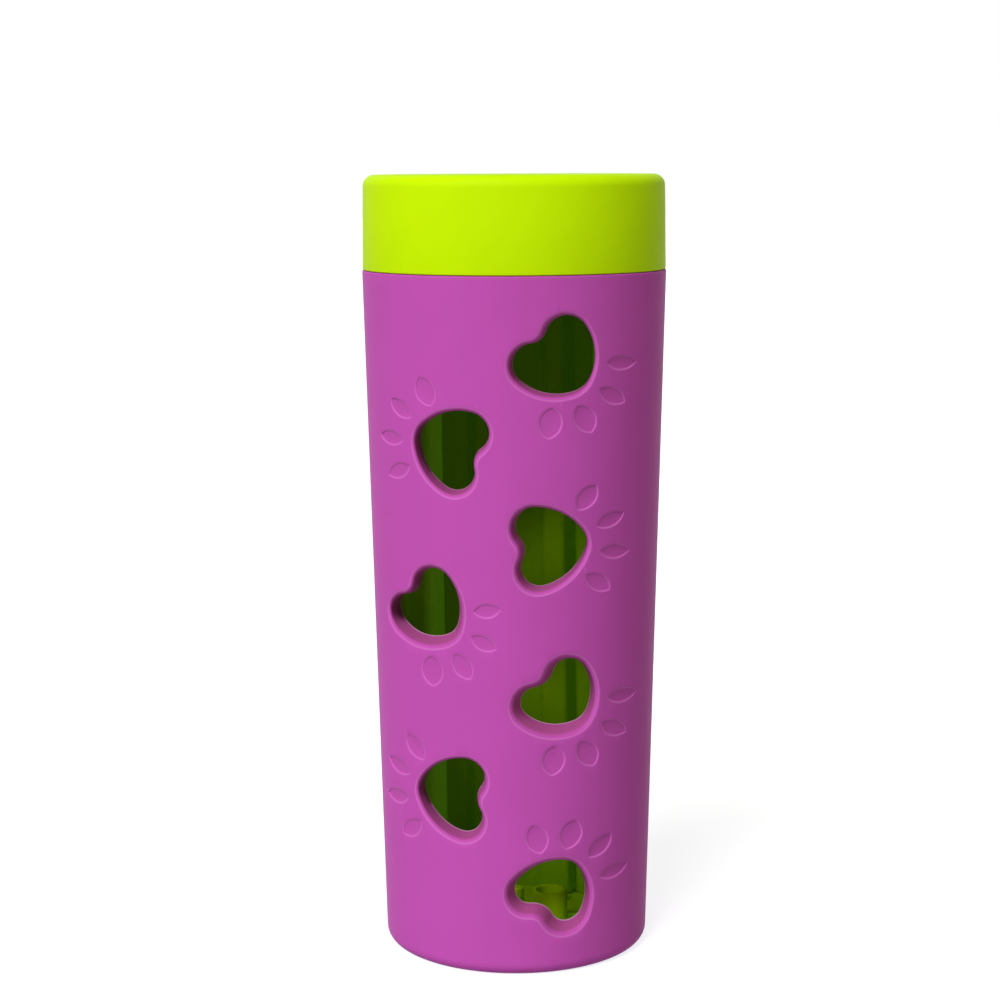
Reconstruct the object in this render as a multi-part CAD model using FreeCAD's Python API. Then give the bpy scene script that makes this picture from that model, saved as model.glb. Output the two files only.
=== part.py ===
import FreeCAD, Part
import math
import os

from FreeCAD import Vector

# Rolling treat dispenser: a tapered cup with heart shaped holes, a screw cap, and an
# inner half tube that is turned by hand to stand behind the holes or to close them.
# Millimetres. The origin is the centre of the base on the floor, +Z is up along the
# axis, and the photographed front is the -Y side. Angles about the axis are counted
# from the front, positive towards +X.

# Overall size
height = 150.0
cap_diameter = 57.5
cap_height = 17.9
shoulder_proud = 0.3
base_diameter = 51.4

# Cup
base_edge_radius = 2.5
shoulder_edge_radius = 0.4
floor_thickness = 2.0
wall_at_floor = 4.1
neck_wall = 1.5
neck_edge_radius = 0.5
foot_ring_width = 5.0
foot_recess_depth = 0.6

# Screw cap
cap_top_thickness = 2.2
cap_side_thickness = 1.9
cap_edge_radius = 2.2
cap_lip_radius = 0.4
seam_gap = 0.4
cap_headroom = 0.4
neck_clearance = 0.7

# Heart shaped holes, with the outline of a paw's pad. One slide of the mould makes them
# all, so each is drawn across the line that it is pulled along.
lobe_radius = 4.7
lobe_setback = 2.3
lobe_half_spacing = 3.9
tip_radius = 6.75
tip_offset = 0.2
notch_radius = 4.0
draft_at_floor = 0.36
draft_at_shoulder = 0.11
pull_angle = -5.5
outline_depth = 0.7
lowest_paw_height = 16.3
highest_paw_drop = 15.2

# Each paw from the bottom up: its angle about the axis, the direction in which its toes
# point, counted from the right hand side, and the step up from the paw below it
paws = [
    (17.8, 60.0, 0.0),
    (-28.6, 177.0, 18.0),
    (19.3, -50.0, 18.7),
    (-37.6, -43.0, 16.4),
    (14.4, 7.0, 13.0),
    (-26.6, 160.0, 18.2),
    (16.8, -50.0, 15.9),
]

# Inner half tube
sleeve_clearance = 0.35
sleeve_wall = 1.4
sleeve_lift = 0.3
sleeve_below_mouth = 0.1
lower_ring_height = 3.0
upper_ring_height = 13.0
window_edge_offset = 1.0
window_corner_radius = 3.0
sleeve_angle = -4.0
rib_angles = (-72.0, -24.0, 24.0, 72.0)
rib_reach = 5.6
rib_width_at_foot = 7.0
rib_width_at_top = 3.4
rib_edge = 1.0
rib_lift = 0.3

# Base disc
disc_thickness = 1.2
disc_clearance = 0.4
boss_diameter = 6.8
boss_bore = 5.4
boss_height = 7.4
boss_floor = 1.5
boss_distance = 8.6
boss_angle = 50.2
pip_diameter = 3.0
pip_height = 6.2
disc_rib_count = 8
disc_rib_width = 0.9
disc_rib_height = 0.8
disc_rib_inner_radius = 3.2
disc_rib_end_gap = 0.6

# Rounded edges are drawn as a few narrow bands
bands = 3

# Sizes and places worked out from the ones above
shoulder_diameter = cap_diameter + 2 * shoulder_proud
cap_bore_diameter = cap_diameter - 2 * cap_side_thickness
neck_diameter = cap_bore_diameter - 2 * neck_clearance
bore_diameter_at_mouth = neck_diameter - 2 * neck_wall
bore_diameter_at_floor = base_diameter - 2 * wall_at_floor
rib_nose_radius = bore_diameter_at_floor / 2 - rib_reach
seam_z = height - cap_height
shoulder_z = seam_z - seam_gap
mouth_z = height - cap_top_thickness - cap_headroom
disc_top_z = floor_thickness + disc_thickness
sleeve_bottom_z = floor_thickness + sleeve_lift
sleeve_top_z = mouth_z - sleeve_below_mouth
window_bottom_z = sleeve_bottom_z + lower_ring_height
window_top_z = sleeve_top_z - upper_ring_height
past = 2.0
cut_tolerance = 0.0001


def outer_radius(z):
    """The cup's outside radius at a height."""
    return base_diameter / 2 + (shoulder_diameter - base_diameter) / 2 * z / shoulder_z


def bore_radius(z):
    """The cup's inside radius at a height, one cone from the floor to the mouth."""
    share = (z - floor_thickness) / (mouth_z - floor_thickness)
    return (bore_diameter_at_floor + (bore_diameter_at_mouth - bore_diameter_at_floor) * share) / 2


def turned(points):
    """A solid of revolution about Z from (radius, height) corners."""
    corners = [Vector(r, 0, z) for r, z in points]
    outline = Part.makePolygon(corners + corners[:1])
    return Part.Face(outline).revolve(Vector(0, 0, 0), Vector(0, 0, 1), 360)


def corner(r, z, radius, start, steps):
    """A rounded right angled corner at (r, z), as (radius, height) points.

    The arc runs a quarter turn on from its start angle, which is counted from the
    outward direction. The corner lies where its two sides would have met.
    """
    middle = math.radians(start + 45)
    centre_r = r - math.sqrt(2) * radius * math.cos(middle)
    centre_z = z - math.sqrt(2) * radius * math.sin(middle)
    points = []
    for step in range(steps + 1):
        angle = math.radians(start + 90 * step / steps)
        points.append((centre_r + radius * math.cos(angle), centre_z + radius * math.sin(angle)))
    return points


def on_wall(angle, z, facing):
    """A frame on the cup's skin: X along the wall, Y up, Z outwards in a direction."""
    turn = FreeCAD.Rotation(Vector(0, 0, 1), facing).multiply(FreeCAD.Rotation(Vector(1, 0, 0), 90))
    radius = outer_radius(z)
    around = math.radians(angle)
    return FreeCAD.Placement(Vector(radius * math.sin(around), -radius * math.cos(around), z), turn)


def arc(centre, radius, start, end):
    """An arc edge between two angles in radians, about (x, y) in the plane z = 0."""
    points = []
    for angle in (start, (start + end) / 2, end):
        points.append(Vector(centre[0] + radius * math.cos(angle), centre[1] + radius * math.sin(angle), 0))
    return Part.Arc(*points).toShape()


def line(a, b):
    return Part.LineSegment(a, b).toShape()


def first(edge):
    return edge.valueAt(edge.FirstParameter)


def last(edge):
    return edge.valueAt(edge.LastParameter)


def heart(grow, turn, out):
    """The pad's outline grown by an amount, its toe side turned to an angle."""
    upper = (-lobe_setback, lobe_half_spacing)
    lower = (-lobe_setback, -lobe_half_spacing)
    tip = (tip_offset, 0.0)
    reach = math.hypot(tip[0] - upper[0], tip[1] - upper[1])
    side = math.atan2(tip[1] - upper[1], tip[0] - upper[0])
    side += math.acos((lobe_radius - tip_radius) / reach)
    run = math.sqrt((lobe_radius + notch_radius) ** 2 - lobe_half_spacing ** 2)
    notch = (-lobe_setback - run, 0.0)
    inward = math.atan2(-lobe_half_spacing, -run) + 2 * math.pi
    opening = math.atan2(lobe_half_spacing, run)
    tip_arc = arc(tip, tip_radius + grow, -side, side)
    upper_arc = arc(upper, lobe_radius + grow, side, inward)
    notch_arc = arc(notch, notch_radius - grow, opening, -opening)
    lower_arc = arc(lower, lobe_radius + grow, -inward, -side)
    edges = [
        tip_arc,
        line(last(tip_arc), first(upper_arc)),
        upper_arc,
        notch_arc,
        lower_arc,
        line(last(lower_arc), first(tip_arc)),
    ]
    wire = Part.Wire(edges)
    wire.rotate(Vector(0, 0, 0), Vector(0, 0, 1), turn)
    wire.translate(Vector(0, 0, out))
    return wire


def heart_hole(angle, turn, z):
    """A drafted hole through the wall along the mould's pull line."""
    across = math.cos(math.radians(angle - pull_angle))
    wall = (outer_radius(z) - bore_radius(z)) / across
    draft = draft_at_floor + (draft_at_shoulder - draft_at_floor) * z / shoulder_z
    sections = []
    for out in (3 * past, -wall - 4 * past):
        sections.append(heart(draft * (out + outline_depth), turn, out))
    hole = Part.makeLoft(sections, True, True)
    hole.Placement = on_wall(angle, z, pull_angle)
    return hole


def heart_holes():
    """One hole for each paw, spread over the height between the base and the shoulder."""
    steps = sum(paw[2] for paw in paws)
    field = shoulder_z - highest_paw_drop - lowest_paw_height
    climbed = 0.0
    holes = []
    for angle, turn, step in paws:
        climbed += step
        holes.append(heart_hole(angle, turn, lowest_paw_height + field * climbed / steps))
    return holes


def make_cup():
    """The purple cup: wall, floor, foot ring, neck and holes."""
    foot = outer_radius(0) - foot_ring_width
    profile = [(0, foot_recess_depth), (foot, foot_recess_depth), (foot, 0)]
    profile += corner(outer_radius(0), 0, base_edge_radius, -90, bands)
    profile += corner(outer_radius(shoulder_z), shoulder_z, shoulder_edge_radius, 0, 1)
    profile += [(neck_diameter / 2, shoulder_z)]
    profile += corner(neck_diameter / 2, mouth_z, neck_edge_radius, 0, 1)
    profile += [(bore_radius(mouth_z), mouth_z), (bore_radius(floor_thickness), floor_thickness)]
    profile += [(0, floor_thickness)]
    return turned(profile).cut(heart_holes(), cut_tolerance)


def make_cap():
    """The lime screw cap, without its thread."""
    bore = cap_bore_diameter / 2
    ceiling = height - cap_top_thickness
    profile = [(0, ceiling), (bore, ceiling), (bore, seam_z)]
    profile += corner(cap_diameter / 2, seam_z, cap_lip_radius, -90, 1)
    profile += corner(cap_diameter / 2, height, cap_edge_radius, 0, bands)
    profile += [(0, height)]
    return turned(profile)


def rib(angle):
    """One of the half tube's inner ribs, drafted from its foot to its top."""
    sections = []
    for z, width in ((disc_top_z + rib_lift, rib_width_at_foot), (window_top_z, rib_width_at_top)):
        back = bore_radius(z) - sleeve_clearance - sleeve_wall / 2
        half = width / 2
        flat = half - rib_edge
        shoulder = rib_nose_radius + rib_edge
        outline = [
            (-half, back),
            (-half, shoulder),
            (-flat, rib_nose_radius),
            (flat, rib_nose_radius),
            (half, shoulder),
            (half, back),
        ]
        corners = [Vector(x, y, z) for x, y in outline]
        sections.append(Part.makePolygon(corners + corners[:1]))
    body = Part.makeLoft(sections, True, True)
    body.rotate(Vector(0, 0, 0), Vector(0, 0, 1), angle)
    return body


def make_sleeve():
    """The lime half tube between two rings, with its ribs."""
    outside = [(bore_radius(z) - sleeve_clearance, z) for z in (sleeve_bottom_z, sleeve_top_z)]
    inside = [(radius - sleeve_wall, z) for radius, z in reversed(outside)]
    body = turned(outside + inside)
    width = bore_diameter_at_mouth + past
    tall = window_top_z - window_bottom_z
    near = Vector(-width / 2, -width / 2 - window_edge_offset, window_bottom_z)
    window = Part.makeBox(width, width / 2, tall, near)
    back = -window_edge_offset - past
    sills = [edge for edge in window.Edges if edge.BoundBox.XLength > past and edge.BoundBox.YMin > back]
    body = body.cut(window.makeFillet(window_corner_radius, sills))
    for angle in rib_angles:
        body = body.fuse(rib(angle))
    body.rotate(Vector(0, 0, 0), Vector(0, 0, 1), sleeve_angle)
    return body


def make_disc():
    """The lime base disc with its hollow bosses, ribs and middle pip."""
    ring_bore = bore_radius(sleeve_bottom_z) - sleeve_clearance - sleeve_wall
    body = Part.makeCylinder(ring_bore - disc_clearance, disc_thickness, Vector(0, 0, floor_thickness))
    length = rib_nose_radius - disc_rib_end_gap - disc_rib_inner_radius
    for number in range(disc_rib_count):
        near = Vector(disc_rib_inner_radius, -disc_rib_width / 2, disc_top_z)
        bar = Part.makeBox(length, disc_rib_width, disc_rib_height, near)
        bar.rotate(Vector(0, 0, 0), Vector(0, 0, 1), 360 / disc_rib_count * number)
        body = body.fuse(bar)
    body = body.fuse(Part.makeCylinder(pip_diameter / 2, pip_height, Vector(0, 0, disc_top_z)))
    for side in (0, 180):
        angle = math.radians(boss_angle + side)
        place = Vector(boss_distance * math.sin(angle), -boss_distance * math.cos(angle), disc_top_z)
        body = body.fuse(Part.makeCylinder(boss_diameter / 2, boss_height, place))
        body = body.cut(Part.makeCylinder(boss_bore / 2, boss_height, place + Vector(0, 0, boss_floor)))
    return body.removeSplitter()


def main():
    os.makedirs("parts", exist_ok=True)
    pieces = {
        "outer_shell": make_cup(),
        "screw_cap": make_cap(),
        "shutter_sleeve": make_sleeve(),
        "base_disc": make_disc(),
    }
    for name, shape in pieces.items():
        box = shape.BoundBox
        print(name, shape.isValid(), len(shape.Solids), round(shape.Volume, 1), round(box.ZMin, 2), round(box.ZMax, 2))
        shape.exportStep("parts/" + name + ".step")


main()
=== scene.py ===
import math

import bmesh
import bpy
from bpy.props import FloatProperty, FloatVectorProperty, IntProperty, PointerProperty
from mathutils import Matrix, Vector


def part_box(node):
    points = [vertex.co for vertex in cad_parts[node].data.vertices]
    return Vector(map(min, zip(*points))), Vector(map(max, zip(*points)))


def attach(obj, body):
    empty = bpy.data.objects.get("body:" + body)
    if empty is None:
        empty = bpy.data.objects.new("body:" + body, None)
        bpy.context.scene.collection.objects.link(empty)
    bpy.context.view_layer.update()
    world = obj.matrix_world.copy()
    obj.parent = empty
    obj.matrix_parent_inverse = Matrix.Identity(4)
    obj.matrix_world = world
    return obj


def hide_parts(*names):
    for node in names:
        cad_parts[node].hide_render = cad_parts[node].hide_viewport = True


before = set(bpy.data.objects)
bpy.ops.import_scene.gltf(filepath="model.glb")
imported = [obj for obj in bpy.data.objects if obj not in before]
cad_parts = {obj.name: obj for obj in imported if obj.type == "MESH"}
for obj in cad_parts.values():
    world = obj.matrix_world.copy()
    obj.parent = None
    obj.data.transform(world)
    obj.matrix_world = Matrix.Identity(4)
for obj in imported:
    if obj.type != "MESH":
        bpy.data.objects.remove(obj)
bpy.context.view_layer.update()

bl_info = {
    "name": "Rolling treat dispenser",
    "version": (1, 0, 0),
    "blender": (4, 5, 0),
    "location": "3D View > Sidebar > Treat dispenser",
    "description": "Builds a tube with heart shaped holes, its screw cap and its inner shutter",
    "category": "Object",
}

MM = 0.001
CUP_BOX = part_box("outer_shell")
CAP_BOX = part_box("screw_cap")
SLEEVE_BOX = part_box("shutter_sleeve")
DISC_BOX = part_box("base_disc")

# Each paw from the bottom up: angle about the axis from the front in degrees, height in
# mm, the direction in which its toes point, counted from the right hand side, and how
# much the hole has narrowed at its inner end, in mm
PAWS = [
    (15.5, 16.3, 58.5, 1.35),
    (-27.6, 34.4, 176.5, 0.75),
    (17.5, 53.1, -49.0, 1.35),
    (-35.4, 69.5, -41.0, 1.1),
    (13.3, 82.4, 7.0, 0.6),
    (-25.8, 100.6, 159.5, 0.5),
    (15.8, 116.4, -50.0, 0.35),
]

# Each toe: distance in mm from the pad's centre and angle from the paw's axis
TOES = [(11.1, -47.0), (11.5, -15.5), (11.5, 15.5), (11.1, 47.0)]

# A toe print's sides from above the skin down: share of its depth, and growth in mm, of
# which its pointed ends take less
TOE_SIDES = [(-2, 0.35), (0, 0.35), (0.08, 0.22), (0.45, 0), (0.85, -0.12), (1, -0.35)]
TOE_END_GROWTH = 0.7

# The pad's outline in mm, its toe side towards +X: lobes, tip, notch and rounded sides
LOBE_RADIUS, LOBE_SETBACK, LOBE_HALF_SPACING = 4.15, 2.55, 3.9
TIP_RADIUS, TIP_OFFSET = 4.65, 2.05
NOTCH_RADIUS, SIDE_RADIUS = 2.85, 10.65
OUTLINE_STEP = 0.45

# Places of the steps along a hole's rounded outer edge, in degrees
HOLE_EDGE_STEPS = (9, 25, 42, 59, 75, 90)

# Half of a thread's ridge, from its foot to its crest: how far it stands out of its wall,
# as a share of its height, and how far from its middle, in mm
RIDGE = [(-0.25, 0.85), (0.55, 0.656), (0.93, 0.42), (1, 0.2)]

# Places of the shutter's ribs about the axis, in degrees from its middle
RIB_PLACES = (-72, -24, 24, 72)

# Edges that the eye only just sees, how deep joined bodies stand in each other, how far
# a cutter stands out of what it cuts, and how far a rolled wall keeps from its round ends
FINE_EDGE = 0.3 * MM
SUNK = 0.2 * MM
CLEAR = 1.0 * MM
MARGIN = 0.05 * MM

# Faces that meet at less than this many degrees are shaded as one surface
SMOOTH_BELOW = 33

# Points that lie closer together than this are merged
SAME_POINT = 0.003 * MM

# Divisions of the disc's pip and of its bosses
PIP_STEPS, BOSS_STEPS = 48, 64

# Width of the plastic's etched grain, and of the clouds that the melt's flow leaves. The
# real grain is about 0.1 mm wide and is drawn wider so that it shows.
GRAIN_WIDTH, CLOUD_WIDTH = 0.4 * MM, 15 * MM

# Depth below the cup's skin where the painted shade on the holes' sides begins, and is full
PAINTED_SHADE_FROM, PAINTED_SHADE_TO = 0.2 * MM, 1.1 * MM

# Middle and half width of the painted highlight line below the cup's skin, and of the
# trimmed line outside its bore
PAINTED_HIGHLIGHT_LINE = (0.08 * MM, 0.06 * MM)
TRIMMED_LINE = (0.2 * MM, 0.17 * MM)

# The shutter's painted glow all over, and what the ribs next to the holes have more of it
GLOW, RIB_GLOW = 0.02, 0.05

# The camera that fits the outline, with the listed height: place in m, turns in radians,
# and lens in mm. It looks down by 8.5 degrees.
CAMERA_PLACE = (0, -0.4330, 0.15198)
CAMERA_PITCH, CAMERA_YAW, CAMERA_ROLL = 0.1483, -0.0067, -0.0045
CAMERA_LENS = 81.07

# The sun lamp: its strength, and in degrees its spread, turn from the front and height
LAMP_STRENGTH, LAMP_SPREAD, LAMP_TURN, LAMP_LIFT = 3.1, 36, -30, 42


def linear(hex_value):
    """Linear red, green and blue of an sRGB hex colour such as #FFB400."""
    parts = [int(hex_value[i:i + 2], 16) / 255 for i in (1, 3, 5)]
    return [c / 12.92 if c <= 0.04045 else ((c + 0.055) / 1.055) ** 2.4 for c in parts]


def length(label, millimetres, note):
    """A length that a user can change."""
    value = millimetres * MM
    kind = {"unit": "LENGTH", "subtype": "DISTANCE"}
    return FloatProperty(name=label, description=note, default=value, **kind)


def angle(label, degrees, note):
    """An angle that a user can change."""
    value = math.radians(degrees)
    kind = {"unit": "ROTATION", "subtype": "ANGLE"}
    return FloatProperty(name=label, description=note, default=value, **kind)


def colour(label, hex_value, note):
    """A colour that a user can change."""
    value = linear(hex_value)
    kind = {"subtype": "COLOR", "min": 0, "max": 1}
    return FloatVectorProperty(name=label, description=note, default=value, **kind)


class DispenserSizes(bpy.types.PropertyGroup):
    """Sizes that the solids don't give, and how finely the round forms are divided."""

    around: IntProperty(name="Around", description="Divisions of the round forms", default=240)
    rows: IntProperty(name="Rows", description="Divisions of the walls' height", default=64)
    base_radius: length("Base radius", 25.7, "Cup's outside radius above its bottom edge")
    shoulder_radius: length("Shoulder radius", 29.05, "Cup's outside radius at the shoulder")
    shoulder_height: length("Shoulder height", 132.0, "Where the cup's outside ends under the cap")
    bore_at_floor: length("Bore at floor", 21.6, "Cup's inside radius at the floor")
    bore_at_mouth: length("Bore at mouth", 24.65, "Cup's inside radius at the mouth")
    floor_thickness: length("Floor", 2.0, "Thickness of the cup's floor")
    floor_fillet: length("Floor fillet", 0.35, "Radius where the cup's wall meets its floor")
    base_edge: length("Base edge", 2.5, "Radius of the cup's bottom edge")
    shoulder_edge: length("Shoulder edge", 0.25, "Radius of the cup's edge at the seam")
    neck_radius: length("Neck radius", 26.15, "Neck's outside radius without its thread")
    neck_edge: length("Neck edge", 0.5, "Radius of the mouth's outer edge")
    foot_width: length("Foot ring", 5.0, "Distance from the cup's outside to the recess under it")
    foot_recess: length("Foot recess", 0.6, "Depth of the recess under the cup")
    pull_angle: angle("Pull line", -5.5, "Direction in which the mould's slide leaves the holes")
    hole_edge: length("Hole edge", 0.9, "Radius of the holes' outer edges")
    inner_edge: length("Inner edge", 0.12, "Size of the holes' inner edges")
    toe_length: length("Toe length", 5.6, "Length of an upright toe print")
    toe_shortening: length("Toe shortening", 0.7, "How much shorter a level toe print is")
    toe_width: length("Toe width", 2.5, "Width of a toe print that lies level")
    toe_widening: length("Toe widening", 1.5, "How much wider an upright toe print is")
    toe_depth: length("Toe depth", 0.26, "Depth of a toe print")
    thread_foot: length("Thread foot", 135.4, "Height at which the neck's thread starts")
    thread_pitch: length("Thread pitch", 4.0, "Rise of the threads in one turn")
    thread_height: length("Thread height", 0.55, "How far a thread stands out of its wall")
    thread_turns: FloatProperty(name="Turns", description="Turns of each thread", default=1.9)
    cap_radius: length("Cap radius", 28.75, "Cap's outside radius under its top edge")
    cap_flare: length("Cap flare", 0.22, "How much wider the cap is at its bottom")
    cap_bore: length("Cap bore", 26.85, "Cap's inside radius without its thread")
    cap_top: length("Cap top", 2.2, "Thickness of the cap's top")
    cap_edge: length("Cap edge", 2.2, "Radius of the cap's top edge")
    cap_lip: length("Cap lip", 0.25, "Radius of the cap's outer bottom edge")
    cap_inner_lip: length("Cap inner lip", 0.15, "Radius of the cap's inner bottom edge")
    cap_corner: length("Cap corner", 1.0, "Radius inside the cap's top")
    sleeve_angle: angle("Shutter's turn", -4.0, "How far the shutter is turned from the middle")
    sleeve_gap: length("Shutter gap", 0.35, "Room between the cup's bore and the shutter")
    sleeve_wall: length("Shutter wall", 1.4, "Thickness of the shutter's wall")
    sleeve_edge: length("Shutter edge", 0.3, "Radius of the shutter's edges")
    window_low: length("Window bottom", 5.3, "Lower end of the shutter's window")
    window_high: length("Window top", 134.3, "Upper end of the shutter's window")
    window_corner: length("Window corner", 3.0, "Radius of the window's corners")
    window_edge: length("Window edge", 0.25, "Size of the window's softened edges")
    window_setback: length("Window setback", 1.0, "How far the half tube goes past the middle")
    rib_nose: length("Rib nose radius", 16.0, "Distance of the ribs' noses from the axis")
    rib_foot_width: length("Rib foot", 7.0, "Width of a rib at its foot")
    rib_top_width: length("Rib top", 3.4, "Width of a rib at its top")
    rib_edge: length("Rib edge", 1.0, "Radius of a rib's edges")
    rib_lift: length("Rib lift", 0.3, "Room between the ribs and the base disc")
    rib_chamfer: length("Rib chamfer", 0.5, "Size of the chamfer at a rib's top")
    disc_thickness: length("Disc", 1.2, "Thickness of the base disc")
    disc_rib_width: length("Disc rib width", 0.9, "Width of the ribs across the disc")
    disc_rib_height: length("Disc rib height", 0.8, "Height of the ribs above the disc")
    disc_rib_gap: length("Disc rib gap", 0.6, "Room between the disc's and the shutter's ribs")
    disc_rib_edge: length("Disc rib edge", 0.2, "Size of the disc ribs' softened edges")
    pip_radius: length("Pip radius", 1.5, "Radius of the pip in the disc's middle")
    pip_height: length("Pip height", 6.2, "Height of the pip above the disc")
    pip_edge: length("Pip edge", 0.5, "Radius of the pip's top edge")
    boss_radius: length("Boss radius", 3.4, "Outside radius of the disc's bosses")
    boss_bore: length("Boss bore", 2.7, "Inside radius of the disc's bosses")
    boss_height: length("Boss height", 7.4, "Height of the bosses above the disc")
    boss_floor: length("Boss floor", 1.5, "Depth of material in the foot of a boss")
    boss_distance: length("Boss distance", 8.6, "Distance of the bosses from the axis")
    boss_angle: angle("Boss place", 50.2, "Place of a boss about the axis, from the front")


class DispenserColours(bpy.types.PropertyGroup):
    """Colours of the two plastics, of the floor and of the light."""

    purple: colour("Cup", "#BA4FB0", "Purple polypropylene of the cup")
    lime: colour("Cap and disc", "#BFE604", "Lime polypropylene of cap and base disc")
    # Painted shade: the shutter's lime is darker than the cap's, for the dim inside of the tube
    shutter_lime_in_painted_shade: colour("Shutter", "#8AB400", "Lime of the shutter, darker as painted shade")
    # Painted highlight: paler purple along the rims of holes and toe prints
    painted_highlight_purple: colour("Painted edge highlights", "#C163B7", "Paler purple at the rims of holes and toes")
    torn_purple: colour("Trimmed edges", "#C686B2", "Greyish purple at the holes' inner ends")
    # Painted shade: darker, redder purple on the holes' sides
    painted_shade_purple: colour("Holes' sides", "#A44A8A", "Redder, darker purple deep in the holes, as painted shade")
    # Painted light: colour of the shutter's glow, which stands in for daylight through the plastic
    painted_daylight_glow: colour("Painted daylight glow", "#89DA27", "Glow painted in place of daylight through the plastic")
    floor: colour("Floor", "#B8B8B8", "Pale paint of the floor")
    floor_glow: colour("Floor's white", "#E5E5EB", "What whitens the floor for the camera")
    room: colour("Room", "#909171", "Dim light that the room gives the tube")
    backdrop: colour("Backdrop", "#FFFFFF", "White behind the tube")


def activate(piece):
    """Deselects everything and makes one object active and selected."""
    bpy.ops.object.select_all(action="DESELECT")
    piece.select_set(True)
    bpy.context.view_layer.objects.active = piece


def edit(piece):
    """Opens a piece in edit mode and gives its mesh."""
    activate(piece)
    bpy.ops.object.mode_set(mode="EDIT")
    return bmesh.from_edit_mesh(piece.data)


def leave(piece):
    """Takes the changes over and leaves edit mode."""
    bmesh.update_edit_mesh(piece.data)
    bpy.ops.object.mode_set(mode="OBJECT")


def named(name):
    """Names the primitive that was just added."""
    piece = bpy.context.active_object
    piece.name = name
    piece.data.name = name
    return piece


def apply_place(piece):
    """Puts a piece's place, turn and scale into its mesh."""
    activate(piece)
    bpy.ops.object.transform_apply(location=True, rotation=True, scale=True)


def apply_modifier(piece, kind, **settings):
    """Adds a modifier with its settings and applies it."""
    activate(piece)
    modifier = piece.modifiers.new(kind.lower(), kind)
    for key, value in settings.items():
        setattr(modifier, key, value)
    bpy.ops.object.modifier_apply(modifier=modifier.name)


def boolean(piece, tool, operation):
    """Cuts or joins a piece with another one, which is then gone."""
    apply_modifier(piece, "BOOLEAN", object=tool, operation=operation, solver="EXACT")
    bpy.data.objects.remove(tool)


def joined(pieces):
    """Joins pieces into the first one."""
    activate(pieces[0])
    for piece in pieces[1:]:
        piece.select_set(True)
    bpy.ops.object.join()
    return pieces[0]


def sewn(piece):
    """Merges the doubles and turns all faces outwards."""
    edit(piece)
    bpy.ops.mesh.select_all(action="SELECT")
    bpy.ops.mesh.remove_doubles(threshold=SAME_POINT)
    bpy.ops.mesh.normals_make_consistent(inside=False)
    leave(piece)
    return piece


def finish_piece(piece, which, body, node=None):
    """Smooths all but the real edges, gives the plastic and the body, and hides the node it
    replaces.
    """
    apply_place(piece)
    bpy.ops.object.shade_smooth_by_angle(angle=math.radians(SMOOTH_BELOW))
    piece.data.materials.clear()
    piece.data.materials.append(plastic(which))
    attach(piece, body)
    if node:
        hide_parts(node)


def rounded(centre, radius, start, steps=5, turn=90):
    """Points (radius, height) of an arc about a centre, from a start angle in degrees."""
    points = []
    for step in range(steps + 1):
        a = math.radians(start + turn * step / steps)
        points.append((centre[0] + radius * math.cos(a), centre[1] + radius * math.sin(a)))
    return points


def spun(name, profile, steps):
    """A round form: a point is extruded along its profile, which is spun about the axis."""
    bpy.ops.object.select_all(action="DESELECT")
    bpy.ops.mesh.primitive_plane_add(size=MM)
    piece = named(name)
    edit(piece)
    bpy.ops.mesh.merge(type="CENTER")
    bm = bmesh.from_edit_mesh(piece.data)
    for vertex in bm.verts:
        vertex.co = (0, *profile[0])
        vertex.select = True
    bmesh.update_edit_mesh(piece.data)
    for (r0, z0), (r1, z1) in zip(profile, profile[1:]):
        bpy.ops.mesh.extrude_vertices_move(TRANSFORM_OT_translate={"value": (0, r1 - r0, z1 - z0)})
    bpy.ops.mesh.select_all(action="SELECT")
    bpy.ops.mesh.spin(steps=steps, angle=2 * math.pi, center=(0, 0, 0), axis=(0, 0, 1))
    leave(piece)
    return sewn(piece)


def ring_stack(name, rings):
    """A closed body through rings of points: a disc is extruded from ring to ring."""
    bpy.ops.object.select_all(action="DESELECT")
    bpy.ops.mesh.primitive_circle_add(vertices=len(rings[0]), radius=MM, fill_type="NGON")
    piece = named(name)
    bm = edit(piece)
    for vertex, point in zip(bm.verts, rings[0]):
        vertex.co = point
    bmesh.update_edit_mesh(piece.data)
    for ring in rings[1:]:
        bpy.ops.mesh.extrude_region_move()
        bm = bmesh.from_edit_mesh(piece.data)
        for vertex, point in zip([v for v in bm.verts if v.select], ring):
            vertex.co = point
        bmesh.update_edit_mesh(piece.data)
    bpy.ops.mesh.select_all(action="SELECT")
    bpy.ops.mesh.normals_make_consistent(inside=False)
    leave(piece)
    return piece


def standing_plate(name, wide, low, high, thickness, columns, rows):
    """A flat plate on its edge, its front at y = 0 and its thickness behind."""
    bpy.ops.object.select_all(action="DESELECT")
    bpy.ops.mesh.primitive_grid_add(x_subdivisions=columns, y_subdivisions=rows, size=1)
    plate = named(name)
    plate.scale = (wide, high - low, 1)
    plate.rotation_euler = (math.radians(90), 0, 0)
    plate.location = (0, 0, (low + high) / 2)
    apply_place(plate)
    apply_modifier(plate, "SOLIDIFY", thickness=thickness, offset=-1)
    return plate


def roll_up(plate, wide, low, high, thickness, outside, depth):
    """Takes the flat plate's four narrow sides off and rolls it up into a tapered tube.

    outside and depth give the tube's outer radius and its wall's thickness at a height.
    """
    bm = edit(plate)
    near = 0.01 * MM
    sides = []
    for face in bm.faces:
        middle = face.calc_center_median()
        to_end = min(middle.z - low, high - middle.z)
        to_side = abs(abs(middle.x) - wide / 2)
        if min(to_side, to_end) < near:
            sides.append(face)
    bmesh.ops.delete(bm, geom=sides, context="FACES")
    for vertex in bm.verts:
        x, y, z = vertex.co
        turn = 2 * math.pi * x / wide
        radius = outside(z) - depth(z) * y / thickness
        vertex.co = (radius * math.sin(turn), -radius * math.cos(turn), z)
    leave(plate)


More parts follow.
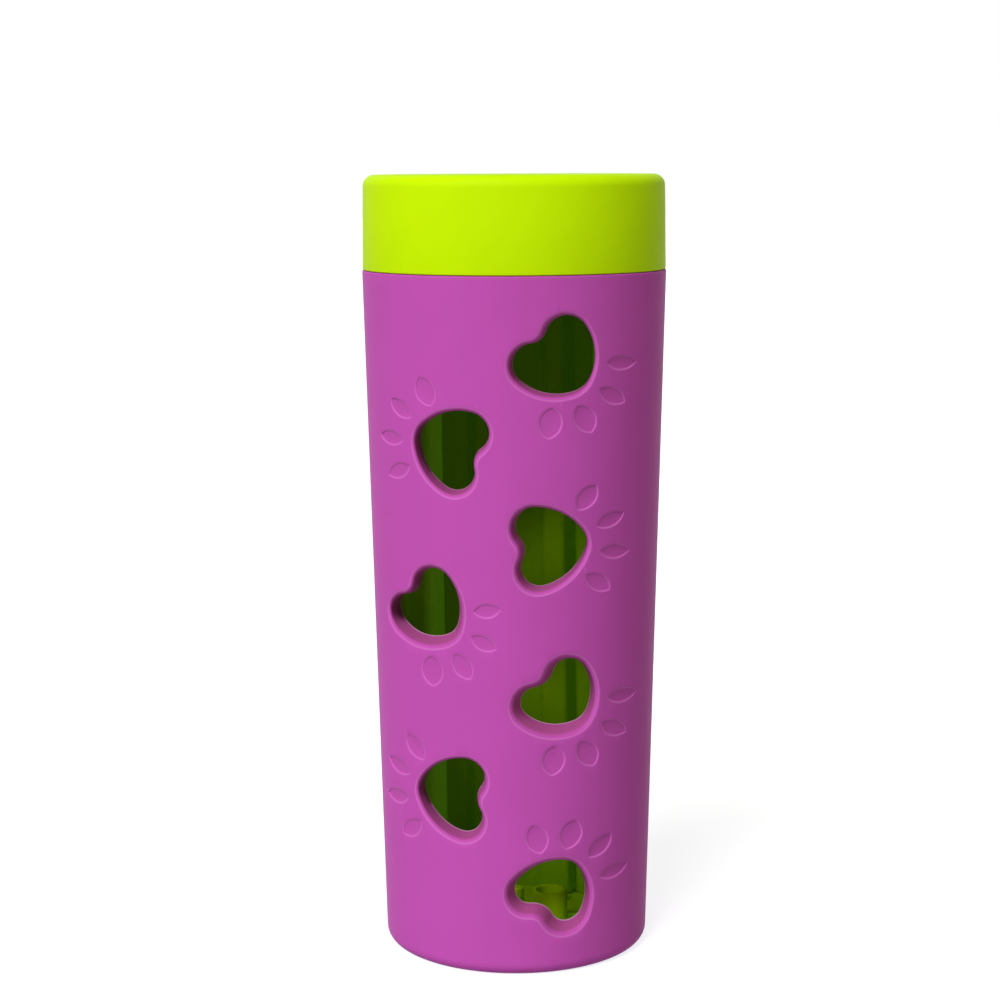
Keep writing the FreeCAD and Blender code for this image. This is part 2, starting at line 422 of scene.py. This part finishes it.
def heart_outline(grow):
    """Points of a paw's pad in mm, grown by an amount; their number stays the same."""
    # A side's arc touches the lobe and the tip, which gives its centre
    to_lobe, to_tip = SIDE_RADIUS - LOBE_RADIUS, SIDE_RADIUS - TIP_RADIUS
    lobe, tip = Vector((-LOBE_SETBACK, LOBE_HALF_SPACING)), Vector((TIP_OFFSET, 0))
    gap = (tip - lobe).length
    ahead = (tip - lobe) / gap
    along = (to_lobe ** 2 - to_tip ** 2 + gap ** 2) / (2 * gap)
    aside = math.sqrt(to_lobe ** 2 - along ** 2)
    side = lobe + along * ahead + aside * Vector((ahead.y, -ahead.x))
    tip_end = math.atan2(tip.y - side.y, tip.x - side.x)
    lobe_start = math.atan2(lobe.y - side.y, lobe.x - side.x)
    run = math.sqrt((LOBE_RADIUS + NOTCH_RADIUS) ** 2 - LOBE_HALF_SPACING ** 2)
    inward = math.atan2(-LOBE_HALF_SPACING, -run) + 2 * math.pi
    opening = math.atan2(LOBE_HALF_SPACING, run)
    arcs = [
        (tip.x, 0, TIP_RADIUS, grow, -tip_end, tip_end),
        (side.x, side.y, SIDE_RADIUS, grow, tip_end, lobe_start),
        (lobe.x, lobe.y, LOBE_RADIUS, grow, lobe_start, inward),
        (lobe.x - run, 0, NOTCH_RADIUS, -grow, opening, -opening),
        (lobe.x, -lobe.y, LOBE_RADIUS, grow, -inward, -lobe_start),
        (side.x, -side.y, SIDE_RADIUS, grow, -lobe_start, -tip_end),
    ]
    points = []
    for x, y, radius, more, start, end in arcs:
        steps = max(4, round(abs(end - start) * radius / OUTLINE_STEP))
        for step in range(steps):
            a = start + (end - start) * step / steps
            reach = radius + more
            points.append((x + reach * math.cos(a), y + reach * math.sin(a)))
    return points


def almond_outline(half_length, half_width, steps=12):
    """Points of a toe print, pointed at both of its ends along X."""
    radius = (half_length ** 2 + half_width ** 2) / (2 * half_width)
    sweep = math.asin(half_length / radius)
    points = []
    for sign in (1, -1):
        for step in range(steps):
            a = sign * math.pi / 2 + sweep - 2 * sweep * step / steps
            aside = radius * math.sin(a) - sign * (radius - half_width)
            points.append((radius * math.cos(a), aside))
    return points


class Wall:
    """The cup's wall: its radii, and the flat plate that it is rolled up from."""

    # The flat plate's, which becomes the wall's own where it is rolled up
    thickness = 4.2 * MM

    def __init__(self, sizes):
        self.sizes = sizes
        self.mouth = CUP_BOX[1].z
        self.low = sizes.base_edge + MARGIN
        self.high = sizes.shoulder_height - sizes.shoulder_edge - 4 * MARGIN
        self.wide = math.pi * (sizes.base_radius + sizes.shoulder_radius)

    def outside(self, z):
        """The outer radius at a height."""
        s = self.sizes
        top = s.shoulder_height - s.shoulder_edge
        share = (z - s.base_edge) / (top - s.base_edge)
        return s.base_radius + (s.shoulder_radius - s.base_radius) * share

    def bore(self, z):
        """The inner radius at a height."""
        s = self.sizes
        share = (z - s.floor_thickness) / (self.mouth - s.floor_thickness)
        return s.bore_at_floor + (s.bore_at_mouth - s.bore_at_floor) * share

    def depth(self, z):
        """The wall's own thickness at a height."""
        return self.outside(z) - self.bore(z)

    def across(self, degrees, z):
        """How far a point of the skin lies from the axis, seen along the mould's pull line."""
        return self.outside(z) * math.sin(math.radians(degrees) - self.sizes.pull_angle)

    def on_plate(self, across, z, depth):
        """The flat plate's point for a distance across the pull line, a height and a depth."""
        inside = min(max(depth, 0), self.depth(z))
        turn = self.sizes.pull_angle + math.asin(across / (self.outside(z) - inside))
        behind = depth * self.thickness / self.depth(z)
        return Vector((turn * self.wide / (2 * math.pi), behind, z))

    def ring(self, outline, lean, across, z, depth):
        """An outline, turned by its lean and laid on the flat plate at a place and a depth."""
        points = []
        for u, v in outline:
            aside = u * math.cos(lean) - v * math.sin(lean)
            up = u * math.sin(lean) + v * math.cos(lean)
            points.append(self.on_plate(across + aside, z + up, depth))
        return points


def heart_cutter(wall, paw):
    """A hole's cutter for the flat plate: rounded edges, draft and the mould's pull line."""
    s = wall.sizes
    turn, height, lean, narrowing = paw[0], paw[1] * MM, math.radians(paw[2]), paw[3] * MM
    centre, through = wall.across(turn, height), wall.depth(height)
    steps = [math.radians(degrees) for degrees in HOLE_EDGE_STEPS]
    edge = [(s.hole_edge * (1 - math.cos(a)), s.hole_edge * (1 - math.sin(a))) for a in steps]
    # Depth and growth of each ring; the edge's first point is brought up to the skin
    widest = edge[0][1]
    inner = s.inner_edge
    levels = [(-CLEAR, widest), (0, widest), *edge[1:], (through / 2, 0)]
    levels += [(through - inner, 0), (through, inner), (through + CLEAR, inner)]
    draft = narrowing / through
    rings = []
    for depth, more in levels:
        grow = more - draft * min(max(depth, 0), through)
        outline = [(u * MM, v * MM) for u, v in heart_outline(grow / MM)]
        rings.append(wall.ring(outline, lean, centre, height, depth))
    return ring_stack("heart_cutter", rings)


def toe_cutter(wall, paw, toe):
    """A toe print's cutter for the flat plate: a shallow almond with steep, soft sides."""
    s = wall.sizes
    lean = math.radians(paw[2] + toe[1])
    centre = wall.across(paw[0], paw[1] * MM) + toe[0] * MM * math.cos(lean)
    height = paw[1] * MM + toe[0] * MM * math.sin(lean)
    # A print that lies level is shorter and slimmer than an upright one
    level = math.cos(lean) ** 2
    half_length = (s.toe_length - s.toe_shortening * level) / 2
    half_width = (s.toe_width + s.toe_widening * (1 - level) ** 2) / 2
    rings = []
    for share, grow in TOE_SIDES:
        outline = almond_outline(half_length + TOE_END_GROWTH * grow * MM, half_width + grow * MM)
        rings.append(wall.ring(outline, lean, centre, height, share * s.toe_depth))
    return ring_stack("toe_cutter", rings)


def thread(name, root, crest, foot, sizes, steps_per_turn=120):
    """A thread: a rounded ridge is screwed round a wall and runs out at both its ends."""
    stand = crest - root
    section = [(root + share * stand, -up * MM) for share, up in RIDGE]
    section += [(r, -z) for r, z in reversed(section)]
    bpy.ops.object.select_all(action="DESELECT")
    bpy.ops.mesh.primitive_circle_add(vertices=len(section), radius=MM)
    piece = named(name)
    bm = edit(piece)
    for vertex, (r, z) in zip(bm.verts, section):
        vertex.co = (0, -r, z)
    leave(piece)
    turns = sizes.thread_turns
    steps = round(steps_per_turn * turns)
    apply_modifier(
        piece,
        "SCREW",
        axis="Z",
        angle=2 * math.pi * turns,
        screw_offset=sizes.thread_pitch * turns,
        steps=steps,
        render_steps=steps,
        use_merge_vertices=False,
    )
    bm = edit(piece)
    bm.verts.ensure_lookup_table()
    # Over the last eighth of a turn at each end the ridge sinks into its wall
    run_out = steps_per_turn // 8
    deepest = section[0][0]
    for index, vertex in enumerate(bm.verts):
        ring = index // len(section)
        share = min(1, min(ring, steps - ring) / run_out)
        r = math.hypot(vertex.co.x, vertex.co.y)
        sunk = deepest + (r - deepest) * math.sin(share * math.pi / 2)
        vertex.co.x *= sunk / r
        vertex.co.y *= sunk / r
        vertex.co.z += foot
    leave(piece)
    return sewn(piece)


def cup_profiles(s, wall):
    """Profiles of the cup's underside, of its floor, and of its shoulder and neck."""
    # From the recess under the cup, over the foot ring, to the wall's outside
    fine, recess = FINE_EDGE, s.foot_recess
    foot = s.base_radius - s.foot_width
    under = [(0, recess), (foot / 2, recess), (foot - fine, recess)]
    under += [(foot, recess - fine), (foot, fine), (foot + fine, 0)]
    under += rounded((s.base_radius - s.base_edge, s.base_edge), s.base_edge, -90, 8)
    under += [(wall.outside(wall.low), wall.low)]

    # From the floor's middle to the wall's inside
    floor_z, fillet = s.floor_thickness, s.floor_fillet
    corner = (wall.bore(floor_z) - fillet, floor_z + fillet)
    inside = [(0, floor_z), (s.bore_at_floor / 2, floor_z)]
    inside += rounded(corner, fillet, -90, 4)
    inside += [(wall.bore(wall.low), wall.low)]

    # From the wall's outside, over the shoulder and the neck, to the wall's inside
    edge, top, mouth, lip = s.shoulder_edge, s.shoulder_height, wall.mouth, s.neck_edge
    middle = (top + mouth) / 2
    over = [(wall.outside(wall.high), wall.high)]
    over += rounded((s.shoulder_radius - edge, top - edge), edge, 0, 4)
    over += rounded((s.neck_radius + fine, top + fine), fine, 270, 3, -90)
    over += [(s.neck_radius, middle)]
    over += rounded((s.neck_radius - lip, mouth - lip), lip, 0, 5)
    over += rounded((wall.bore(mouth) + fine, mouth - fine), fine, 90, 4)
    over += [(wall.bore(z), z) for z in (middle, wall.high)]
    return under, inside, over


class DISPENSER_OT_cup(bpy.types.Operator):
    """Builds the purple cup: a flat plate is cut and rolled up, and gets a floor and a neck"""

    bl_idname = "dispenser.cup"
    bl_label = "Cup"

    def execute(self, context):
        s = context.scene.dispenser_sizes
        wall = Wall(s)
        measures = (wall.wide, wall.low, wall.high, wall.thickness)
        plate = standing_plate("cup", *measures, s.around, s.rows)
        tools = [heart_cutter(wall, paw) for paw in PAWS]
        tools += [toe_cutter(wall, paw, toe) for paw in PAWS for toe in TOES]
        boolean(plate, joined(tools), "DIFFERENCE")
        roll_up(plate, *measures, wall.outside, wall.depth)

        rest = [spun("cup_part", profile, s.around) for profile in cup_profiles(s, wall)]
        cup = sewn(joined([plate] + rest))
        finish_piece(cup, "purple", "shell", "outer_shell")

        crest = s.neck_radius + s.thread_height
        ridge = thread("neck_thread", s.neck_radius, crest, s.thread_foot, s)
        finish_piece(ridge, "purple", "shell")
        return {"FINISHED"}


class DISPENSER_OT_cap(bpy.types.Operator):
    """Builds the lime screw cap with its inner thread"""

    bl_idname = "dispenser.cap"
    bl_label = "Screw cap"

    def execute(self, context):
        s = context.scene.dispenser_sizes
        low, high = CAP_BOX[0].z, CAP_BOX[1].z
        bore, lip, corner, edge = s.cap_bore, s.cap_lip, s.cap_corner, s.cap_edge
        inner_lip = s.cap_inner_lip
        ceiling = high - s.cap_top
        wide = s.cap_radius + s.cap_flare
        # From the ceiling's middle, round the lip, to the middle of the top
        profile = [(0, ceiling), (bore / 2, ceiling)]
        profile += rounded((bore - corner, ceiling - corner), corner, 90, 5, -90)
        profile += [(bore, (low + ceiling) / 2)]
        profile += rounded((bore + inner_lip, low + inner_lip), inner_lip, 180, 3)
        profile += rounded((wide - lip, low + lip), lip, -90, 4)
        profile += [((s.cap_radius + wide) / 2, (low + high) / 2)]
        profile += rounded((s.cap_radius - edge, high - edge), edge, 0, 9)
        profile += [(s.cap_radius / 2, high), (0, high)]
        cap = spun("cap", profile, s.around)
        finish_piece(cap, "lime", "cap", "screw_cap")

        # The cap's ridge runs between the turns of the neck's
        foot = s.thread_foot + s.thread_pitch / 2
        ridge = thread("cap_thread", bore, bore - s.thread_height, foot, s)
        finish_piece(ridge, "lime", "cap")
        return {"FINISHED"}


def window_cutter(s, mean):
    """The cutter of the shutter's window, for the flat plate, with softened edges."""
    half_wide = mean * (math.pi / 2 - math.asin(s.window_setback / mean))
    half_tall = (s.window_high - s.window_low) / 2
    middle = (s.window_low + s.window_high) / 2
    fine = s.window_edge
    # Depth and growth of each ring, first over the front edge and then over the back one
    front = [(0, fine), (0.3 * fine, 0.3 * fine), (fine, 0)]
    back = [(s.sleeve_wall - depth, more) for depth, more in reversed(front)]
    rings = []
    for depth, more in [(-CLEAR, fine), *front, *back, (s.sleeve_wall + CLEAR, fine)]:
        ring = []
        for side, up, start in ((1, 1, 0), (-1, 1, 90), (-1, -1, 180), (1, -1, 270)):
            x = side * (half_wide - s.window_corner)
            z = middle + up * (half_tall - s.window_corner)
            corner = rounded((x, z), s.window_corner + more, start, 8)
            ring += [Vector((px, depth, pz)) for px, pz in corner]
        rings.append(ring)
    return ring_stack("window_cutter", rings)


def shutter_rib(s, place, outside):
    """A rib that gets slimmer upwards, at a place about the axis in degrees.

    It reaches back to the middle of the wall that it stands on, whose outer radius at a
    height is given by outside.
    """
    foot = DISC_BOX[0].z + s.disc_thickness + s.rib_lift
    turn = Matrix.Rotation(math.radians(place), 3, "Z")
    levels = [(foot, -FINE_EDGE), (foot + FINE_EDGE, 0)]
    levels += [(s.window_high - s.rib_chamfer, 0), (s.window_high, -s.rib_chamfer)]
    rings = []
    for z, more in levels:
        share = (z - foot) / (s.window_high - foot)
        width = s.rib_foot_width + (s.rib_top_width - s.rib_foot_width) * share
        half = width / 2 + more
        nose = s.rib_nose - more
        back = outside(z) - s.sleeve_wall / 2
        ring = [Vector((half, back, z)), Vector((-half, back, z))]
        for side, start in ((-1, 180), (1, 270)):
            centre = (side * (half - s.rib_edge), nose + s.rib_edge)
            ring += [Vector((x, y, z)) for x, y in rounded(centre, s.rib_edge, start)]
        rings.append([turn @ point for point in ring])
    return ring_stack("rib", rings)


class DISPENSER_OT_shutter(bpy.types.Operator):
    """Builds the lime half tube that opens and closes the holes, with its rings and ribs"""

    bl_idname = "dispenser.shutter"
    bl_label = "Shutter"

    def execute(self, context):
        s = context.scene.dispenser_sizes
        wall = Wall(s)
        bottom, top = SLEEVE_BOX[0].z, SLEEVE_BOX[1].z
        edge = s.sleeve_edge

        def outside(z):
            """The outer radius at a height."""
            return wall.bore(z) - s.sleeve_gap

        def inside(z):
            """The inner radius at a height."""
            return outside(z) - s.sleeve_wall

        def depth(z):
            """The wall is equally thick all over."""
            return s.sleeve_wall

        low, high = bottom + edge + MARGIN, top - edge - MARGIN
        mean = outside((s.window_low + s.window_high) / 2)
        measures = (2 * math.pi * mean, low, high, s.sleeve_wall)
        plate = standing_plate("shutter", *measures, s.around, s.rows)
        boolean(plate, window_cutter(s, mean), "DIFFERENCE")
        roll_up(plate, *measures, outside, depth)

        below = [(inside(low), low)]
        below += rounded((inside(bottom) + edge, bottom + edge), edge, 180, 4)
        below += rounded((outside(bottom) - edge, bottom + edge), edge, -90, 4)
        below += [(outside(low), low)]
        above = [(outside(high), high)]
        above += rounded((outside(top) - edge, top - edge), edge, 0, 4)
        above += rounded((inside(top) + edge, top - edge), edge, 90, 4)
        above += [(inside(high), high)]
        ends = [spun("shutter_end", profile, s.around) for profile in (below, above)]
        shutter = sewn(joined([plate] + ends))

        for place in RIB_PLACES:
            boolean(shutter, shutter_rib(s, place, outside), "UNION")
        shutter.rotation_euler = (0, 0, s.sleeve_angle)
        apply_place(shutter)
        finish_piece(sewn(shutter), "shutter_lime_in_painted_shade", "sleeve", "shutter_sleeve")
        return {"FINISHED"}


def disc_bar(s, top, turn):
    """A bar across the disc's top, with soft edges, that makes two ribs."""
    bpy.ops.object.select_all(action="DESELECT")
    bpy.ops.mesh.primitive_cube_add(size=1)
    bar = named("disc_bar")
    height = s.disc_rib_height
    bar.scale = (2 * (s.rib_nose - s.disc_rib_gap), s.disc_rib_width, height + SUNK)
    bar.location = (0, 0, top + (height - SUNK) / 2)
    bar.rotation_euler = (0, 0, turn)
    apply_place(bar)
    edit(bar)
    bpy.ops.mesh.bevel(offset=s.disc_rib_edge, segments=2, affect="EDGES")
    leave(bar)
    return bar


class DISPENSER_OT_disc(bpy.types.Operator):
    """Builds the lime base disc with its ribs, hollow bosses and middle pip"""

    bl_idname = "dispenser.disc"
    bl_label = "Base disc"

    def execute(self, context):
        s = context.scene.dispenser_sizes
        low = DISC_BOX[0].z
        top = low + s.disc_thickness
        radius = DISC_BOX[1].x
        edge = FINE_EDGE
        profile = [(0, low)] + rounded((radius - edge, low + edge), edge, -90, 4)
        profile += rounded((radius - edge, top - edge), edge, 0, 4)
        profile += [(0, top)]
        disc = spun("disc", profile, s.around // 2)

        # Four bars across the disc make its eight ribs
        for number in range(4):
            boolean(disc, disc_bar(s, top, math.radians(45 * number)), "UNION")

        tip, edge = top + s.pip_height, s.pip_edge
        pip = [(0, top - SUNK), (s.pip_radius, top - SUNK), (s.pip_radius, tip - edge)]
        pip += rounded((s.pip_radius - edge, tip - edge), edge, 0, 4) + [(0, tip)]
        boolean(disc, spun("pip", pip, PIP_STEPS), "UNION")

        # Less than half of the tube's wall is taken by each of its rim's two edges
        rim = 0.3 * (s.boss_radius - s.boss_bore)
        tip = top + s.boss_height - rim
        tube = [(0, top - SUNK), (s.boss_radius, top - SUNK)]
        tube += rounded((s.boss_radius - rim, tip), rim, 0, 3)
        tube += rounded((s.boss_bore + rim, tip), rim, 90, 3)
        tube += [(s.boss_bore, top + s.boss_floor), (0, top + s.boss_floor)]
        for side in (0, math.pi):
            boss = spun("boss", tube, BOSS_STEPS)
            a = s.boss_angle + side
            boss.location = (s.boss_distance * math.sin(a), -s.boss_distance * math.cos(a), 0)
            apply_place(boss)
            boolean(disc, boss, "UNION")
        finish_piece(sewn(disc), "lime", "shell", "base_disc")
        return {"FINISHED"}


def add_node(tree, kind, inputs=(), **settings):
    """Adds a node with its settings; each input takes an output of another node or a value."""
    node = tree.nodes.new(kind)
    for key, value in settings.items():
        label = key.replace("_", " ")
        if label in node.inputs:
            node.inputs[label].default_value = value
        else:
            setattr(node, key, value)
    for source, target in inputs:
        if isinstance(source, bpy.types.NodeSocket):
            tree.links.new(source, node.inputs[target])
        else:
            node.inputs[target].default_value = source
    return node


def plastic(which):
    """Polypropylene, injection moulded in a finely etched mould, in one of the colours.

    The etching leaves a fine matt grain: one broad, soft highlight and no mirror image.
    The colour is in the plastic, so light goes a little way in, and the melt's flow
    leaves faint clouds of a lighter and a darker tone.
    """
    name = "moulded_polypropylene_" + which
    if name in bpy.data.materials:
        return bpy.data.materials[name]
    colours = bpy.context.scene.dispenser_colours
    base = Vector(getattr(colours, which))
    material = bpy.data.materials.new(name)
    material.use_nodes = True
    tree = material.node_tree
    tree.nodes.clear()
    place = add_node(tree, "ShaderNodeTexCoord").outputs["Object"]
    spot = [(place, "Vector")]
    grain = add_node(tree, "ShaderNodeTexNoise", spot, Scale=1 / GRAIN_WIDTH, Detail=2.0)
    flow = add_node(tree, "ShaderNodeTexNoise", spot, Scale=1 / CLOUD_WIDTH, Detail=3.0)
    tones = [(flow.outputs["Fac"], "Factor"), ((*(base * 0.94), 1), 6), ((*(base * 1.06), 1), 7)]
    skin = add_node(tree, "ShaderNodeMix", tones, data_type="RGBA").outputs[2]
    if which == "purple":
        # The purple gets painted highlights on its rims and painted shade in its holes
        skin = painted_edge_light_and_flash(tree, place, skin)
    fine = grain.outputs["Fac"]
    sheen = add_node(tree, "ShaderNodeMapRange", [(fine, "Value")], To_Min=0.4, To_Max=0.5)
    bump = add_node(tree, "ShaderNodeBump", [(fine, "Height")], Strength=0.15, Distance=0.03 * MM)
    shader = add_node(
        tree,
        "ShaderNodeBsdfPrincipled",
        [(skin, "Base Color"), (sheen.outputs[0], "Roughness"), (bump.outputs[0], "Normal")],
        IOR=1.49,
        Specular_IOR_Level=0.02,
        Subsurface_Weight=0.08,
        Subsurface_Scale=0.8 * MM,
        Subsurface_Radius=(1.0, 0.7, 0.9) if which == "purple" else (0.9, 1.0, 0.3),
    )
    if which == "shutter_lime_in_painted_shade":
        # Painted light: the shutter glows in place of daylight that comes in through the plastic
        shader.inputs["Emission Color"].default_value = (*colours.painted_daylight_glow, 1)
        tree.links.new(daylight(tree, place), shader.inputs["Emission Strength"])
    add_node(tree, "ShaderNodeOutputMaterial", [(shader.outputs[0], "Surface")])
    return material


def from_axis(tree, place):
    """Outputs for a point's X, Y and Z, and for its distance from the tube's axis."""
    parts = add_node(tree, "ShaderNodeSeparateXYZ", [(place, 0)]).outputs
    flat = add_node(tree, "ShaderNodeCombineXYZ", [(parts[0], 0), (parts[1], 1)])
    radius = add_node(tree, "ShaderNodeVectorMath", [(flat.outputs[0], 0)], operation="LENGTH")
    return parts, radius.outputs["Value"]


def daylight(tree, place):
    """How strongly the shutter glows with painted light, in place of the daylight inside.

    It glows a little all over, for light through the cap and the walls, and more on the
    noses of the two ribs next to the holes, within 8 mm of the tube's middle plane.
    """
    nose = bpy.context.scene.dispenser_sizes.rib_nose
    parts, radius = from_axis(tree, place)
    # Each is 1 near the holes and 0 away from them
    near = []
    for source, dark, bright in ((radius, nose + 3 * MM, nose + MM), (parts[1], 12 * MM, 8 * MM)):
        spot = [(source, "Value"), (dark, "From Min"), (bright, "From Max")]
        near.append(add_node(tree, "ShaderNodeMapRange", spot).outputs[0])
    both = add_node(tree, "ShaderNodeMath", [(near[0], 0), (near[1], 1)], operation="MULTIPLY")
    strength = [(both.outputs[0], 0), (RIB_GLOW, 1), (GLOW, 2)]
    return add_node(tree, "ShaderNodeMath", strength, operation="MULTIPLY_ADD").outputs[0]


def painted_edge_light_and_flash(tree, place, skin):
    """Painted highlight on hole and toe rims, painted shade in the holes, and trimmed flash."""
    s = bpy.context.scene.dispenser_sizes
    colours = bpy.context.scene.dispenser_colours
    wall = Wall(s)
    parts, radius = from_axis(tree, place)

    def beyond(start, end):
        """How far the first radius is past the second."""
        gap = [(start, 0), (end, 1)]
        return add_node(tree, "ShaderNodeMath", gap, operation="SUBTRACT").outputs[0]

    def radius_of(side):
        """The wall's inner or outer radius at the height of the point."""
        line = [(parts[2], 0), (side(1) - side(0), 1), (side(0), 2)]
        return add_node(tree, "ShaderNodeMath", line, operation="MULTIPLY_ADD").outputs[0]

    def within(value, middle, half):
        """1 where the value is less than half away from the middle, else 0."""
        span = [(value, 0), (middle, 1), (half, 2)]
        return add_node(tree, "ShaderNodeMath", span, operation="COMPARE").outputs[0]

    # Only between the bottom edge and the shoulder, so that the neck keeps its colour
    half = (s.shoulder_height - s.base_edge) / 2
    on_wall = within(parts[2], s.base_edge + half, half - s.shoulder_edge)
    below = [(beyond(radius_of(wall.outside), radius), 0), (on_wall, 1)]
    under_skin = add_node(tree, "ShaderNodeMath", below, operation="MULTIPLY").outputs[0]
    # Painted shade on the holes' sides, growing with depth below the cup's skin
    span = [(under_skin, "Value"), (PAINTED_SHADE_FROM, "From Min"), (PAINTED_SHADE_TO, "From Max")]
    deep = add_node(tree, "ShaderNodeMapRange", span).outputs[0]
    # Painted highlight: a thin paler line just below the skin, at the rims of holes and toes
    rim = within(under_skin, *PAINTED_HIGHLIGHT_LINE)
    inner_rim = within(beyond(radius, radius_of(wall.bore)), *TRIMMED_LINE)
    for share, tone in (
        (deep, colours.painted_shade_purple),
        (rim, colours.painted_highlight_purple),
        (inner_rim, colours.torn_purple),
    ):
        tones = [(share, "Factor"), (skin, 6), ((*tone, 1), 7)]
        skin = add_node(tree, "ShaderNodeMix", tones, data_type="RGBA").outputs[2]
    return skin


def seen_directly(tree):
    """An output that is 1 for the camera, mirror images and glass, and 0 for diffuse light."""
    rays = add_node(tree, "ShaderNodeLightPath").outputs
    seen = rays["Is Camera Ray"]
    for other in (rays["Is Glossy Ray"], rays["Is Transmission Ray"]):
        either = [(seen, 0), (other, 1)]
        seen = add_node(tree, "ShaderNodeMath", either, operation="MAXIMUM").outputs[0]
    return seen


def painted_board(colours):
    """Board under matt paint, which shows the shadow and else is white."""
    material = bpy.data.materials.new("painted_board")
    material.use_nodes = True
    tree = material.node_tree
    tree.nodes.clear()
    white = [(seen_directly(tree), "Strength"), ((*colours.floor_glow, 1), "Color")]
    matt = add_node(tree, "ShaderNodeBsdfDiffuse", Color=(*colours.floor, 1))
    glow = add_node(tree, "ShaderNodeEmission", white)
    both = add_node(tree, "ShaderNodeAddShader", [(matt.outputs[0], 0), (glow.outputs[0], 1)])
    add_node(tree, "ShaderNodeOutputMaterial", [(both.outputs[0], "Surface")])
    return material


def white_room(colours):
    """A world that is white behind the tube, and gives diffuse light like a dimmer room."""
    world = bpy.data.worlds.new("white_room")
    world.use_nodes = True
    tree = world.node_tree
    tree.nodes.clear()
    dim, white = (*colours.room, 1), (*colours.backdrop, 1)
    tones = [(seen_directly(tree), "Factor"), (dim, 6), (white, 7)]
    light = add_node(tree, "ShaderNodeMix", tones, data_type="RGBA")
    room = add_node(tree, "ShaderNodeBackground", [(light.outputs[2], "Color")], Strength=1.0)
    add_node(tree, "ShaderNodeOutputWorld", [(room.outputs[0], "Surface")])
    return world


def key_light():
    """The sun lamp, which shines from the front left and from above."""
    lamp = bpy.data.lights.new("key_light", "SUN")
    lamp.energy = LAMP_STRENGTH
    lamp.angle = math.radians(LAMP_SPREAD)
    holder = bpy.data.objects.new("key_light", lamp)
    a, b = math.radians(LAMP_TURN), math.radians(LAMP_LIFT)
    towards = Vector((math.sin(a) * math.cos(b), -math.cos(a) * math.cos(b), math.sin(b)))
    holder.rotation_euler = towards.to_track_quat("Z", "Y").to_euler()
    holder.location = towards
    return holder


def fitted_camera():
    """The camera, at the place and with the turns and lens that fit the outline."""
    camera = bpy.data.cameras.new("camera")
    camera.sensor_width = 36
    camera.lens = CAMERA_LENS
    camera.clip_start = 0.01
    holder = bpy.data.objects.new("camera", camera)
    a, b = CAMERA_YAW, CAMERA_PITCH
    ahead = Vector((math.sin(a) * math.cos(b), math.cos(a) * math.cos(b), -math.sin(b)))
    turn = ahead.to_track_quat("-Z", "Y").to_matrix() @ Matrix.Rotation(CAMERA_ROLL, 3, "Z")
    holder.matrix_world = Matrix.Translation(CAMERA_PLACE) @ turn.to_4x4()
    return holder


class DISPENSER_OT_stage(bpy.types.Operator):
    """Builds the floor, the light and the camera"""

    bl_idname = "dispenser.stage"
    bl_label = "Stage"

    def execute(self, context):
        scene = context.scene
        bpy.ops.object.select_all(action="DESELECT")
        bpy.ops.mesh.primitive_plane_add(size=12)
        floor = named("floor")
        floor.data.materials.append(painted_board(scene.dispenser_colours))

        scene.world = white_room(scene.dispenser_colours)
        lamp, camera = key_light(), fitted_camera()
        scene.collection.objects.link(lamp)
        scene.collection.objects.link(camera)
        scene.camera = camera
        scene.view_settings.view_transform = "Standard"
        return {"FINISHED"}


OPERATORS = (
    DISPENSER_OT_cup,
    DISPENSER_OT_cap,
    DISPENSER_OT_shutter,
    DISPENSER_OT_disc,
    DISPENSER_OT_stage,
)


class DISPENSER_PT_panel(bpy.types.Panel):
    """Lists the steps, sizes and colours of the treat dispenser"""

    bl_idname = "DISPENSER_PT_panel"
    bl_label = "Treat dispenser"
    bl_space_type = "VIEW_3D"
    bl_region_type = "UI"
    bl_category = "Treat dispenser"

    def draw(self, context):
        """Draws a button for each step and a field for each size and colour."""
        for step in OPERATORS:
            self.layout.operator(step.bl_idname)
        for group in (context.scene.dispenser_sizes, context.scene.dispenser_colours):
            for name in group.bl_rna.properties.keys():
                if name not in ("rna_type", "name"):
                    self.layout.prop(group, name)


CLASSES = (DispenserSizes, DispenserColours, *OPERATORS, DISPENSER_PT_panel)


def register():
    """Makes the steps, sizes and colours known to Blender."""
    for cls in CLASSES:
        bpy.utils.register_class(cls)
    bpy.types.Scene.dispenser_sizes = PointerProperty(type=DispenserSizes)
    bpy.types.Scene.dispenser_colours = PointerProperty(type=DispenserColours)


def unregister():
    """Takes the steps, sizes and colours away again."""
    del bpy.types.Scene.dispenser_colours
    del bpy.types.Scene.dispenser_sizes
    for cls in reversed(CLASSES):
        bpy.utils.unregister_class(cls)


def main():
    """Builds all the pieces and the stage."""
    register()
    bpy.ops.dispenser.cup()
    bpy.ops.dispenser.cap()
    bpy.ops.dispenser.shutter()
    bpy.ops.dispenser.disc()
    bpy.ops.dispenser.stage()


if __name__ == "__main__":
    main()
